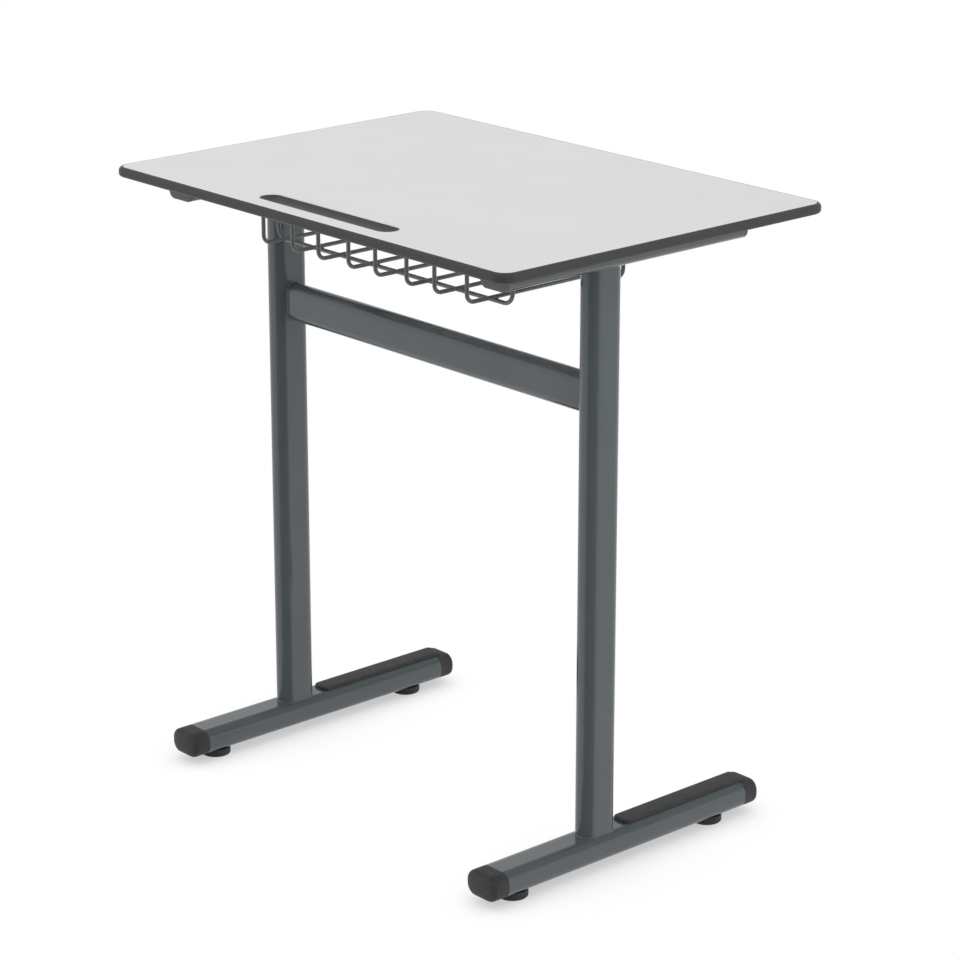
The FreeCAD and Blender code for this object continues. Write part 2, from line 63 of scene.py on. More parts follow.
# %% [markdown]
# ## A skin over rows of points
#
# Nearly everything here is a tube, a cap or a sheet: a closed outline that is carried along a path while it
# grows or shrinks. So one helper serves them all. It takes rows of points, each row an outline, and joins
# every row to the next with four-sided faces. A row whose points all fall together closes an end. Doubles are
# then merged and the faces turned outwards, and an edge stays crisp only where two faces meet at an angle.

# %% Rows of points become a piece
SAME_PLACE = 1 * MICRON
NO_WIDTH = 0.1 * MICRON


def skin(rows, loop=False):
    """Points and faces of a surface through rows of outlines; a loop also joins the last row to the first."""
    rows = np.asarray(rows, float)
    count, around = rows.shape[:2]
    number = np.arange(count * around).reshape(count, around)
    here = number if loop else number[:-1]
    up = np.roll(number, -1, axis=0) if loop else number[1:]
    faces = np.stack([here, np.roll(here, -1, 1), np.roll(up, -1, 1), up], axis=-1)
    return rows.reshape(-1, 3), faces.reshape(-1, 4)


def wear_of(rows, amount):
    """One wear value for every point, from one value for every row."""
    return np.repeat(np.asarray(amount, float), np.shape(rows)[1])


def make_piece(name, shells, finish, body="frame", stands_for=(), crisp=32.0, wear=None):
    """One finished object from one or more skins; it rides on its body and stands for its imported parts."""
    points = np.concatenate([shell[0] for shell in shells])
    starts = np.cumsum([0] + [len(shell[0]) for shell in shells[:-1]])
    faces = np.concatenate([shell[1] + start for shell, start in zip(shells, starts)])
    mesh = bpy.data.meshes.new(name)
    mesh.from_pydata(points.tolist(), [], faces.tolist())
    if wear is not None:
        mark = mesh.attributes.new("wear", "FLOAT", "POINT")
        mark.data.foreach_set("value", np.asarray(wear, np.float32))
    piece = bpy.data.objects.new(name, mesh)
    bpy.context.scene.collection.objects.link(piece)
    tidy_mesh(mesh)
    mesh.polygons.foreach_set("use_smooth", np.ones(len(mesh.polygons), bool))
    mesh.set_sharp_from_angle(angle=np.radians(crisp))
    mesh.materials.append(finish)
    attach(piece, body)
    if stands_for:
        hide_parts(*stands_for)
    print(name, "has", len(mesh.polygons), "faces")


def tidy_mesh(mesh):
    """Merges points that fall together, drops faces without area and turns the rest outwards."""
    work = bmesh.new()
    work.from_mesh(mesh)
    bmesh.ops.remove_doubles(work, verts=work.verts, dist=SAME_PLACE)
    bmesh.ops.dissolve_degenerate(work, edges=work.edges, dist=NO_WIDTH)
    bmesh.ops.recalc_face_normals(work, faces=work.faces)
    work.to_mesh(mesh)
    work.free()


# %% [markdown]
# ## Outlines
#
# Tubes, caps and the board share one outline: a rectangle with quarter-circle corners, which turns into an
# oval when the corners are as large as they can be. Each step of the walk keeps two things, the point on the
# inner rectangle and the direction that leads outwards from it. The outline at any inset is then the inner
# point plus that direction times what is left of the corner radius, so insets never cross.

# %% Walk round a rounded rectangle
def quarter_turn(steps):
    """Angles from 0 to a right angle, for a rounding drawn in this many steps."""
    return np.radians(np.linspace(0, 90, steps + 1))


def outline(width, depth, corner, arc_steps=12, side_step=1.0):
    """Inner points and outward directions of a rounded rectangle, counter-clockwise."""
    corner = min(corner, width / 2, depth / 2)
    a = width / 2 - corner
    b = depth / 2 - corner
    quarter = quarter_turn(arc_steps)
    corners = ((a, b), (-a, b), (-a, -b), (a, -b))
    inner = []
    turns = []
    for number, place in enumerate(corners):
        following = np.array(corners[(number + 1) % 4])
        turn = quarter + number * np.pi / 2
        inner.append(np.tile(place, (len(turn), 1)))
        turns.append(turn)
        between = int(np.linalg.norm(following - place) / side_step)
        share = np.linspace(0, 1, between + 2)[1:-1, None]
        inner.append(np.array(place) * (1 - share) + following * share)
        turns.append(np.full(between, turn[-1]))
    turns = np.concatenate(turns)
    return np.concatenate(inner), np.stack([np.cos(turns), np.sin(turns)], axis=-1), corner


def level(flat, height):
    """An outline in the plan, lifted to one height or to a height of its own at every point."""
    return np.column_stack([flat, np.broadcast_to(height, len(flat))])


def across(flat, x, y, z):
    """An outline drawn in width and height, stood up across the Y axis at one place."""
    return np.column_stack([flat[:, 0] + x, np.full(len(flat), y), flat[:, 1] + z])


def shoulder(offset, half_width, corner):
    """How far a tube's rounded corner has dropped at this distance from its middle."""
    past = np.maximum(np.abs(offset) - (half_width - corner), 0)
    return corner - np.sqrt(np.maximum(corner ** 2 - past ** 2, 0))


# %% [markdown]
# ## Finishes
#
# All finishes are procedural and follow the object's own coordinates, in metres, so a grain that is half a
# millimetre wide on the real thing has a scale of about two thousand here. Each finish has three layers: a
# faint change of colour, a change of roughness that breaks up the reflections, and a fine relief.

# %% Helpers for the finishes
def linear(red, green, blue):
    """A colour as seen on a screen, 0 to 255, in the values that light adds up in: the sRGB curve undone."""
    screen = np.array([red, green, blue]) / 255
    low = screen / 12.92
    high = ((screen + 0.055) / 1.055) ** 2.4
    return (*np.where(screen <= 0.04045, low, high).tolist(), 1.0)


def grey(tone):
    """A neutral grey as seen on a screen."""
    return linear(tone, tone, tone)


def new_finish(name, roughness, metallic=0.0, specular=0.5):
    """A material with its shader, whose overall values are set on the shader itself."""
    material = bpy.data.materials.new(name)
    material.use_nodes = True
    shader = material.node_tree.nodes["Principled BSDF"]
    shader.inputs["Roughness"].default_value = roughness
    shader.inputs["Metallic"].default_value = metallic
    shader.inputs["Specular IOR Level"].default_value = specular
    return material, shader


def grain(material, scale, detail=2.0, stretch=(1.0, 1.0, 1.0)):
    """Noise on the object's own coordinates, drawn out along an axis where the stretch is small."""
    nodes = material.node_tree.nodes
    links = material.node_tree.links
    place = nodes.new("ShaderNodeTexCoord")
    turn = nodes.new("ShaderNodeMapping")
    turn.inputs["Scale"].default_value = stretch
    noise = nodes.new("ShaderNodeTexNoise")
    noise.inputs["Scale"].default_value = scale
    noise.inputs["Detail"].default_value = detail
    links.new(place.outputs["Object"], turn.inputs["Vector"])
    links.new(turn.outputs["Vector"], noise.inputs["Vector"])
    return noise.outputs["Fac"]


def ramp(material, value, low, high, start=0.3, end=0.7):
    """A colour that runs from low to high while the value runs from start to end."""
    colours = material.node_tree.nodes.new("ShaderNodeValToRGB")
    colours.color_ramp.elements[0].position = start
    colours.color_ramp.elements[0].color = low
    colours.color_ramp.elements[1].position = end
    colours.color_ramp.elements[1].color = high
    material.node_tree.links.new(value, colours.inputs["Fac"])
    return colours.outputs["Color"]


def spread(material, value, low, high, start=0.3, end=0.7):
    """A number that runs from low to high while the value runs from start to end."""
    span = material.node_tree.nodes.new("ShaderNodeMapRange")
    span.inputs["From Min"].default_value = start
    span.inputs["From Max"].default_value = end
    span.inputs["To Min"].default_value = low
    span.inputs["To Max"].default_value = high
    material.node_tree.links.new(value, span.inputs["Value"])
    return span.outputs["Result"]


def relief(material, shader, height, depth, strength):
    """Lets a height pattern of this depth, in metres, tilt the surface."""
    bump = material.node_tree.nodes.new("ShaderNodeBump")
    bump.inputs["Distance"].default_value = depth
    bump.inputs["Strength"].default_value = strength
    material.node_tree.links.new(height, bump.inputs["Height"])
    material.node_tree.links.new(bump.outputs["Normal"], shader.inputs["Normal"])


def worn(material, plain, rubbed, scale=260.0):
    """The plain colour, rubbed lighter where the piece's wear mark is high and a patchy noise agrees."""
    nodes = material.node_tree.nodes
    links = material.node_tree.links
    mark = nodes.new("ShaderNodeAttribute")
    mark.attribute_name = "wear"
    patch = spread(material, grain(material, scale, detail=4.0), 0.0, 1.0, start=0.42, end=0.62)
    both = nodes.new("ShaderNodeMath")
    both.operation = "MULTIPLY"
    links.new(mark.outputs["Fac"], both.inputs[0])
    links.new(patch, both.inputs[1])
    mix = nodes.new("ShaderNodeMix")
    mix.data_type = "RGBA"
    mix.inputs["B"].default_value = rubbed
    links.new(both.outputs[0], mix.inputs["Factor"])
    links.new(plain, mix.inputs["A"])
    return mix.outputs["Result"]


# %% [markdown]
# The writing surface is a light grey high-pressure laminate. Its print is even, but the press leaves a fine
# pearl in the surface that softens every reflection.

# %% Light grey laminate
laminate, shader = new_finish("light grey laminate", roughness=0.42)
links = laminate.node_tree.links
cloud = grain(laminate, scale=9.0, detail=3.0)
links.new(ramp(laminate, cloud, grey(215), grey(218)), shader.inputs["Base Color"])
pearl = grain(laminate, scale=1500.0)
links.new(spread(laminate, pearl, 0.36, 0.48), shader.inputs["Roughness"])
relief(laminate, shader, pearl, depth=20 * MICRON, strength=0.6)

# %% [markdown]
# The board's core is dark compact laminate. Its edge is milled and sanded along its length, so it shows faint
# lines that run level all round, and the rounding is polished a little lighter where sleeves rub it.

# %% Dark compact core
core_finish, shader = new_finish("dark compact core", roughness=0.45, specular=0.2)
links = core_finish.node_tree.links
layers = grain(core_finish, scale=25.0, detail=3.0, stretch=(1.0, 1.0, 80.0))
plain = ramp(core_finish, layers, linear(66, 67, 67), linear(71, 71, 71))
links.new(worn(core_finish, plain, linear(80, 80, 79)), shader.inputs["Base Color"])
links.new(spread(core_finish, layers, 0.42, 0.5), shader.inputs["Roughness"])
relief(core_finish, shader, layers, depth=10 * MICRON, strength=0.1)

# %% [markdown]
# The steel is powder coated in a dark blue-grey, half gloss. Powder melts into a skin with a soft orange
# peel: waves of one to two millimetres that are only micrometres deep. They bend the long highlights.

# %% Powder-coated steel
def powder_coat(name, low, high, roughness):
    """A half-gloss coat of paint: a faint cloud in the colour, an orange peel in the surface."""
    material, shader = new_finish(name, roughness)
    links = material.node_tree.links
    cloud = grain(material, scale=14.0, detail=3.0)
    links.new(ramp(material, cloud, low, high), shader.inputs["Base Color"])
    speck = grain(material, scale=900.0)
    links.new(spread(material, speck, roughness - 0.02, roughness + 0.03), shader.inputs["Roughness"])
    peel = grain(material, scale=420.0, detail=1.5)
    relief(material, shader, peel, depth=30 * MICRON, strength=0.12)
    return material


steel_paint = powder_coat("dark grey powder coat", linear(81, 88, 91), linear(85, 92, 95), roughness=0.1)
# The wire coat has its own grey, drawn lighter than the tubes' paint: painted light for the floor's light on
# wires in the board's shade.
wire_paint = powder_coat("wire coat lifted by painted underlight", linear(98, 99, 99), linear(104, 105, 105), roughness=0.25)

# %% [markdown]
# Caps, scuff pads and glides are moulded in grey to black plastic. The arms' caps take a paler copy of the cap
# plastic: painted light, standing in for the floor's light under the board. The mould is spark eroded, which
# leaves a fine leathery grain, and edges that shoes and brooms touch turn paler.

# %% Moulded plastics
def moulded(name, tone, rubbed, roughness=0.6):
    """A matt moulded plastic: eroded grain, with edges of a paler tone where the wear mark is high."""
    material, shader = new_finish(name, roughness, specular=0.3)
    links = material.node_tree.links
    erosion = grain(material, scale=1300.0, detail=2.5)
    plain = ramp(material, grain(material, scale=30.0, detail=3.0), grey(tone), grey(tone + 6))
    links.new(worn(material, plain, grey(rubbed)), shader.inputs["Base Color"])
    links.new(spread(material, erosion, roughness - 0.07, roughness + 0.07), shader.inputs["Roughness"])
    relief(material, shader, erosion, depth=30 * MICRON, strength=0.25)
    return material


cap_plastic = moulded("dark cap plastic", tone=56, rubbed=80)
# Painted light: the arms' caps are the cap plastic drawn paler, for the floor's light that reaches them under
# the board.
arm_cap_plastic = moulded("cap plastic paled for painted underlight", tone=93, rubbed=110)
glide_plastic = moulded("black glide plastic", tone=51, rubbed=72)

# %% [markdown]
# The threads and screws are zinc plated: bright, slightly blue, with a matt that changes from spot to spot.
# The inserts in the board are brass, which nobody sees once the desk is together.

# %% Zinc and brass
def plated(name, low, high, roughness):
    """A plated metal whose bath left soft patches in colour and gloss."""
    material, shader = new_finish(name, roughness, metallic=1.0)
    links = material.node_tree.links
    bath = grain(material, scale=180.0, detail=4.0)
    links.new(ramp(material, bath, low, high), shader.inputs["Base Color"])
    links.new(spread(material, bath, roughness - 0.08, roughness + 0.1), shader.inputs["Roughness"])
    relief(material, shader, grain(material, scale=2200.0), depth=20 * MICRON, strength=0.3)
    return material


zinc = plated("zinc plate", linear(168, 173, 180), linear(196, 200, 206), roughness=0.36)
brass = plated("turned brass", linear(190, 158, 96), linear(212, 182, 120), roughness=0.3)

# %% [markdown]
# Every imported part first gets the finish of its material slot. The parts that get a finer form below are
# replaced one by one; the straight tubes, the rails and what lies hidden stay as they were packed.

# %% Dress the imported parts
FINISHES = {"laminate_light": laminate, "compact_core": core_finish, "painted_steel": steel_paint,
            "basket_wire": wire_paint, "cap_plastic": cap_plastic, "arm_cap_plastic": arm_cap_plastic,
            "glide_plastic": glide_plastic, "zinc_steel": zinc, "insert_brass": brass}
for part in frame["record"]["subparts"]:
    mesh = frame["nodes"][part["node"]].data
    mesh.materials.clear()
    mesh.materials.append(FINISHES[part["material_slot"]])
print("finishes:", sorted(FINISHES))

# %% [markdown]
# ## The worktop
#
# The board is 700 by 500 mm and 12 mm thick. Its edge is rounded above and below, and a pen groove is milled
# near the far edge. One set of outlines makes the whole core: it starts on the groove's middle line, climbs
# out of the trough, runs over the top under the laminate, round the edge and back below.
#
# The trick is to pair each point of the board's edge with the nearest point of the groove's middle line.
# Lines to the nearest point of a straight piece never cross, so the flat between groove and edge falls into
# clean faces by itself.

# %% The board's size and its paired outlines
core_low, core_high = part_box("worktop_core")
TOP_WIDTH = core_high.x - core_low.x
TOP_DEPTH = core_high.y - core_low.y
DESK_HEIGHT = core_high.z
BOARD_UNDERSIDE = core_low.z
CORNER = 20 * MM
TOP_NOSING = 5 * MM
UNDER_NOSING = 4 * MM
LAMINATE = 0.8 * MM
GROOVE_HALF = 15 * MM
GROOVE_DEPTH = 4.9 * MM
GROOVE_REACH = 103 * MM
GROOVE_X = -8 * MM
GROOVE_Y = 208 * MM
GROOVE_ROUND = (GROOVE_HALF ** 2 + GROOVE_DEPTH ** 2) / (2 * GROOVE_DEPTH)

edge_inner, edge_out, edge_corner = outline(TOP_WIDTH, TOP_DEPTH, CORNER, arc_steps=20, side_step=6 * MM)
edge_line = edge_inner + edge_out * edge_corner
groove_line = np.column_stack([
    np.clip(edge_line[:, 0], GROOVE_X - GROOVE_REACH, GROOVE_X + GROOVE_REACH),
    np.full(len(edge_line), GROOVE_Y)])
groove_out = edge_line - groove_line
groove_out /= np.linalg.norm(groove_out, axis=1, keepdims=True)


def edge_ring(inset, height):
    """The board's outline at an inset and a height."""
    return level(edge_inner + edge_out * (edge_corner - inset), height)


def groove_height(radius):
    """The trough's height at a distance from its middle line: the lower part of a circle."""
    return DESK_HEIGHT - GROOVE_DEPTH + GROOVE_ROUND - np.sqrt(GROOVE_ROUND ** 2 - radius ** 2)


def groove_ring(radius, height):
    """The groove's outline at a distance from its middle line."""
    return level(groove_line + groove_out * radius, height)


# %% Dark core with its rounded edge and trough
bed = DESK_HEIGHT - LAMINATE
centre_above_bed = GROOVE_ROUND - GROOVE_DEPTH + LAMINATE
bed_radius = np.sqrt(GROOVE_ROUND ** 2 - centre_above_bed ** 2)
arc = quarter_turn(10)
trough = [groove_ring(r, groove_height(r)) for r in np.linspace(0, bed_radius, 12)]
over = [edge_ring(TOP_NOSING, bed)]
nosing = [edge_ring(TOP_NOSING * (1 - np.sin(t)), DESK_HEIGHT - TOP_NOSING * (1 - np.cos(t))) for t in arc]
under = [edge_ring(UNDER_NOSING * (1 - np.cos(t)), BOARD_UNDERSIDE + UNDER_NOSING * (1 - np.sin(t)))
         for t in arc]
below = [edge_ring(UNDER_NOSING, BOARD_UNDERSIDE + LAMINATE), groove_ring(0, BOARD_UNDERSIDE + LAMINATE)]
core_rows = trough + over + nosing + under + below
rubbed = np.sin(2 * arc)
core_wear = [0.0] * len(trough + over) + list(0.5 * rubbed) + list(0.3 * rubbed) + [0.0] * len(below)
make_piece("compact_board", [skin(core_rows)], core_finish, stands_for=["worktop_core"],
           crisp=25.0, wear=wear_of(core_rows, core_wear))

# %% Light laminate face, pierced by the groove
EDGE_BREAK = 0.15 * MM
face_rows = [groove_ring(bed_radius, bed)]
face_rows.append(edge_ring(TOP_NOSING, bed))
face_rows.append(edge_ring(TOP_NOSING, DESK_HEIGHT - EDGE_BREAK))
face_rows.append(edge_ring(TOP_NOSING + EDGE_BREAK, DESK_HEIGHT))
face_rows.append(groove_ring(GROOVE_HALF, DESK_HEIGHT))
face_rows += [groove_ring(r, groove_height(r)) for r in np.linspace(GROOVE_HALF, bed_radius, 4)[1:-1]]
make_piece("laminate_sheet", [skin(face_rows, loop=True)], laminate,
           stands_for=["laminate_face"], crisp=25.0)

# %% [markdown]
# ## Columns and crossbar
#
# Each column is an oval tube, 30 by 50 mm. Its ends are coped, which means cut to follow the rounded tube
# they are welded to. So the end of each point on the oval lies at a height of its own: level over the flat,
# lower over the foot's rounded shoulders. A second, smaller oval makes the inside, and the two are joined
# into one closed shell.

# %% Sizes of the tubes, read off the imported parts
column_low, column_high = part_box("column_right")
arm_low, arm_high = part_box("support_arm_right")
foot_low, foot_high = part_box("foot_tube_right")
LEG_X = (column_low.x + column_high.x) / 2
COLUMN_Y = (column_low.y + column_high.y) / 2
COLUMN_WIDTH = column_high.x - column_low.x
COLUMN_DEPTH = column_high.y - column_low.y
TUBE_WALL = 2 * MM
ARM_WIDTH = arm_high.x - arm_low.x
ARM_HEIGHT = arm_high.z - arm_low.z
ARM_CORNER = 9.5 * MM
FOOT_WIDTH = foot_high.x - foot_low.x
FOOT_HEIGHT = foot_high.z - foot_low.z
FOOT_CORNER = 13.5 * MM
FOOT_TOP = foot_high.z
SIDES = (("left", -1.0), ("right", 1.0))
print("feet in mm:", round(FOOT_WIDTH / MM, 1), "by", round(FOOT_HEIGHT / MM, 1))
print("arms in mm:", round(ARM_WIDTH / MM, 1), "by", round(ARM_HEIGHT / MM, 1))

# %% The columns
oval_inner, oval_out, oval_round = outline(
    COLUMN_WIDTH, COLUMN_DEPTH, COLUMN_WIDTH / 2, arc_steps=20, side_step=4 * MM)


def foot_rest(x):
    """The height of a foot's upper surface at a distance from the foot's middle."""
    return FOOT_TOP - shoulder(x, FOOT_WIDTH / 2, FOOT_CORNER)


def arm_rest(x):
    """The height of an arm's lower surface at a distance from the arm's middle."""
    return arm_low.z + shoulder(x, ARM_WIDTH / 2, ARM_CORNER)


def column_ring(side, grow, share):
    """The oval, grown or shrunk, at a share of the way from the foot to the arm."""
    flat = oval_inner + oval_out * (oval_round + grow)
    height = foot_rest(flat[:, 0]) * (1 - share) + arm_rest(flat[:, 0]) * share
    return level(flat + (side * LEG_X, COLUMN_Y), height)


for name, side in SIDES:
    shares = np.linspace(0, 1, 15)
    rows = [column_ring(side, 0, s) for s in shares] + [column_ring(side, -TUBE_WALL, s) for s in (1, 0)]
    make_piece("oval_column_" + name, [skin(rows, loop=True)], steel_paint,
               stands_for=["column_" + name])

# %% The crossbar
BAR_HEIGHT = 48 * MM
BAR_THICKNESS = 25 * MM
BAR_WALL = 1.5 * MM
BAR_Z = 572 * MM
bar_inner, bar_out, bar_round = outline(
    BAR_THICKNESS, BAR_HEIGHT, BAR_THICKNESS / 2, arc_steps=18, side_step=4 * MM)


def bar_end(offset):
    """How far in from the leg's middle the crossbar stops, at a distance from the column's middle line."""
    return LEG_X - COLUMN_WIDTH / 2 + shoulder(offset, COLUMN_DEPTH / 2, COLUMN_WIDTH / 2)


def bar_ring(grow, share):
    """The crossbar's oval, at a share of the way from the left column to the right one."""
    flat = bar_inner + bar_out * (bar_round + grow)
    return np.column_stack([(2 * share - 1) * bar_end(flat[:, 0]), flat[:, 0] + COLUMN_Y, flat[:, 1] + BAR_Z])


rows = [bar_ring(0, s) for s in np.linspace(0, 1, 13)] + [bar_ring(-BAR_WALL, s) for s in (1, 0)]
make_piece("oval_crossbar", [skin(rows, loop=True)], steel_paint, stands_for=["crossbar"])

# %% [markdown]
# ## Weld beads
#
# A weld bead is a row of overlapping puddles, each a little behind the last, so its surface shows ripples a
# couple of millimetres apart. Here a small hollow fillet is carried round the oval, and its size swells and
# shrinks with the distance travelled. Its outer toe keeps to the tube below, even over the rounded shoulder.

# %% Rippled beads round the joints
WELD_LEG = 1.5 * MM
RIPPLE = 1.7 * MM
RIPPLE_SWELL = 0.04
CLIMB = 1.25
ROOT_DEPTH = 0.2 * MM
BEAD_STEP = 0.42 * MM


def bead(inner, out, reach, stand):
    """A rippled fillet round an oval: stand turns a flat outline and a lift into points in space."""
    line = inner + out * reach
    step = np.linalg.norm(np.roll(line, -1, 0) - line, axis=1)
    travelled = np.concatenate([[0], np.cumsum(step)[:-1]])
    puddles = np.round(step.sum() / RIPPLE)
    phase = 2 * np.pi * puddles * travelled / step.sum()
    leg = WELD_LEG * (1 - RIPPLE_SWELL + RIPPLE_SWELL * np.sin(phase))
    rows = []
    for turn in quarter_turn(7):
        grow = leg * (1 - np.sin(turn))
        lift = leg * (1 - np.cos(turn)) * CLIMB
        rows.append(stand(inner + out * (reach + grow)[:, None], lift))
    rows.append(stand(line - out * ROOT_DEPTH, 0 * leg))
    return skin(rows, loop=True)


def fine_outline(width, depth):
    """An oval with steps short enough to carry ripples."""
    return outline(width, depth, min(width, depth) / 2, arc_steps=56, side_step=BEAD_STEP)


def column_bead(side, rest, way):
    """The bead at one end of a column, on the surface that rest gives; way is 1 where it climbs upwards."""
    inner, out, reach = fine_outline(COLUMN_WIDTH, COLUMN_DEPTH)
    return bead(inner, out, reach, lambda flat, lift: level(
        flat + (side * LEG_X, COLUMN_Y), rest(flat[:, 0]) + way * lift))


def bar_bead(side):
    """The bead at one end of the crossbar."""
    inner, out, reach = fine_outline(BAR_THICKNESS, BAR_HEIGHT)
    return bead(inner, out, reach, lambda flat, lift: np.column_stack([
        side * (bar_end(flat[:, 0]) - lift), flat[:, 0] + COLUMN_Y, flat[:, 1] + BAR_Z]))


beads = []
for name, side in SIDES:
    beads += [column_bead(side, foot_rest, 1), column_bead(side, arm_rest, -1), bar_bead(side)]
make_piece("rippled_welds", beads, steel_paint, stands_for=["weld_beads"], crisp=60.0)

# %% [markdown]
# ## Caps
#
# Each tube end is closed by a plastic cap: a plug inside the tube and a head outside it with the tube's own
# section. The head ends in a dome whose profile is a superellipse, a curve between an ellipse and a box: with
# a fullness of 2.5 it is the soft pillow on the feet, with 5 the flat end with a rounded rim on the arms. A
# hair of a chamfer where the head meets the tube leaves the thin line that shows the two are separate.

# %% A cap for any tube
PLUG_CLEARANCE = 0.15 * MM
PLUG_CHAMFER = 0.8 * MM
SEAM = 0.35 * MM


def cap_piece(place, side_name, side, kind, low, high, corner, head, plug, dome, fullness, slot):
    """A cap on one end of a packed tube: its head and plug are lengths, its dome is the rounded part of the
    head, and its fullness says how boxy that dome is."""
    end = 1 if place == "front" else -1
    face = high.y if end > 0 else low.y
    tip = face + end * head
    inner, out, reach = outline(high.x - low.x, high.z - low.z, corner, side_step=3 * MM)

    def ring(inset, y, share=1.0):
        flat = (inner + out * (reach - inset)) * share
        return across(flat, side * LEG_X, y, (low.z + high.z) / 2)

    fit = TUBE_WALL + PLUG_CLEARANCE
    rows = [ring(fit, face - end * plug, 0.0), ring(fit + PLUG_CHAMFER, face - end * plug)]
    rows.append(ring(fit, face - end * (plug - PLUG_CHAMFER)))
    rows.append(ring(fit, face))
    rows.append(ring(SEAM, face))
    rows.append(ring(0, face + end * SEAM))
    turns = quarter_turn(17)
    for share, rise in zip(np.cos(turns) ** (2 / fullness), np.sin(turns) ** (2 / fullness)):
        rows.append(ring(0, tip - end * dome * (1 - rise), share))
    wear = [0] * 4 + [0.2, 0.4] + list(0.3 * np.sin(2 * turns))
    make_piece(kind + "_end_" + place + "_" + side_name, [skin(rows)], FINISHES[slot],
               stands_for=["_".join([kind, "cap", place, side_name])], crisp=40.0, wear=wear_of(rows, wear))


# %% The eight caps
FOOT_CAP = {"kind": "foot", "low": foot_low, "high": foot_high, "corner": FOOT_CORNER, "head": 26 * MM,
            "plug": 18 * MM, "dome": 9.5 * MM, "fullness": 2.5, "slot": "cap_plastic"}
ARM_CAP = {"kind": "arm", "low": arm_low, "high": arm_high, "corner": ARM_CORNER, "head": 5 * MM,
           "plug": 12 * MM, "dome": 4 * MM, "fullness": 5.0, "slot": "arm_cap_plastic"}
for name, side in SIDES:
    for place in ("front", "rear"):
        cap_piece(place, name, side, **FOOT_CAP)
        cap_piece(place, name, side, **ARM_CAP)

# %% [markdown]
# ## Scuff pads
#
# Pupils put their shoes on the feet, so each foot has a plastic tread behind its column. It is a long pad
# that sits on the tube like a saddle: its underside follows the tube's rounded top, its upper edge is
# rounded, and its rear end laps a few millimetres over the cap. Two short studs press it into the tube.

# %% The two pads
pad_low, pad_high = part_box("scuff_pad_right")
PAD_WIDTH = pad_high.x - pad_low.x
PAD_FRONT = pad_high.y
PAD_LAP = 11 * MM
PAD_REAR = pad_low.y - PAD_LAP
PAD_TOP = pad_high.z
PAD_CORNER = 7 * MM
PAD_ROUND = 3 * MM
PAD_SEAT_INSET = 3.5 * MM
PAD_STUD_YS = (-22.5 * MM, -121 * MM)
PAD_STUD_RADIUS = 3 * MM
PAD_STUD_LENGTH = 7 * MM
PAD_STUD_SINK = 1 * MM
PAD_STUD_TIP_RADIUS = 2 * MM
PAD_STUD_TIP_LENGTH = 1.4 * MM
pad_inner, pad_out, pad_reach = outline(PAD_WIDTH, PAD_FRONT - PAD_REAR, PAD_CORNER, side_step=4 * MM)


def pad_ring(side, inset, height=None):
    """The pad's outline at an inset; without a height it lies on the foot."""
    flat = pad_inner + pad_out * (pad_reach - inset)
    place = (side * LEG_X, (PAD_FRONT + PAD_REAR) / 2)
    return level(flat + place, foot_rest(flat[:, 0]) if height is None else height)


def pad_middle(side, height):
    """The place on the pad's middle line that is nearest to each point of its outline."""
    line = pad_ring(side, 0, height)
    line[:, 0] = side * LEG_X
    line[:, 1] = np.clip(line[:, 1], PAD_REAR + PAD_WIDTH / 2, PAD_FRONT - PAD_WIDTH / 2)
    return line


def lathe(profile, x, y, steps=48):
    """Rows of a turned shape: each radius and height of the profile becomes a circle."""
    turn = np.linspace(0, 2 * np.pi, steps, endpoint=False)
    circle = np.stack([np.cos(turn), np.sin(turn)], axis=-1)
    return [level(circle * radius + (x, y), height) for radius, height in profile]


PAD_STUD = ((0, FOOT_TOP + PAD_STUD_SINK), (PAD_STUD_RADIUS, FOOT_TOP + PAD_STUD_SINK),
            (PAD_STUD_RADIUS, FOOT_TOP - PAD_STUD_LENGTH + PAD_STUD_TIP_LENGTH),
            (PAD_STUD_TIP_RADIUS, FOOT_TOP - PAD_STUD_LENGTH), (0, FOOT_TOP - PAD_STUD_LENGTH))
for name, side in SIDES:
    turns = quarter_turn(7)
    rows = [pad_middle(side, FOOT_TOP), pad_ring(side, PAD_SEAT_INSET), pad_ring(side, 0)]
    rows += [pad_ring(side, PAD_ROUND * (1 - np.cos(t)), PAD_TOP - PAD_ROUND * (1 - np.sin(t)))
             for t in turns]
    rows.append(pad_middle(side, PAD_TOP))
    shells = [skin(rows)]
    wear = [0, 0, 0.1] + list(0.1 + 0.4 * np.sin(turns)) + [0.2]
    marks = [wear_of(rows, wear)]
    for y in PAD_STUD_YS:
        stud_rows = lathe(PAD_STUD, side * LEG_X, y, steps=24)
        shells.append(skin(stud_rows))
        marks.append(wear_of(stud_rows, [0] * len(PAD_STUD)))
    make_piece("tread_" + name, shells, cap_plastic, stands_for=["scuff_pad_" + name],
               crisp=40.0, wear=np.concatenate(marks))

# %% [markdown]
# ## Levelling glides
#
# Each foot stands on two round glides. A glide is a plastic disc moulded round the end of a threaded stud,
# and turning it screws the stud in or out. The disc is turned from a profile. The thread is a helix: the
# radius of every point on a fine cylinder depends on its angle minus its height divided by the pitch, which
# gives a ridge that winds up the stud.

# %% Discs and threads
disc_low, disc_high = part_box("glide_pad_front_right")
stud_low, stud_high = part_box("glide_stud_front_right")
GLIDE_RADIUS = (disc_high.x - disc_low.x) / 2
GLIDE_TOP = disc_high.z
STUD_RADIUS = (stud_high.x - stud_low.x) / 2
STUD_FOOT = stud_low.z
STUD_TOP = stud_high.z
HOLLOW_DEPTH = 0.4 * MM
HOLLOW_RADIUS = 9 * MM
TREAD_RADIUS = 10 * MM
SOLE_ROUND = 2 * MM
SIDE_MIDDLE = 4.5 * MM
CROWN_CHAMFER = 0.6 * MM
PITCH = 1.25 * MM
THREAD_DEPTH = 0.6 * MM
THREAD_SIDES = 36
THREAD_START = 10 * MM
TIP_LENGTH = 1 * MM
TIP_SHARE = 0.8


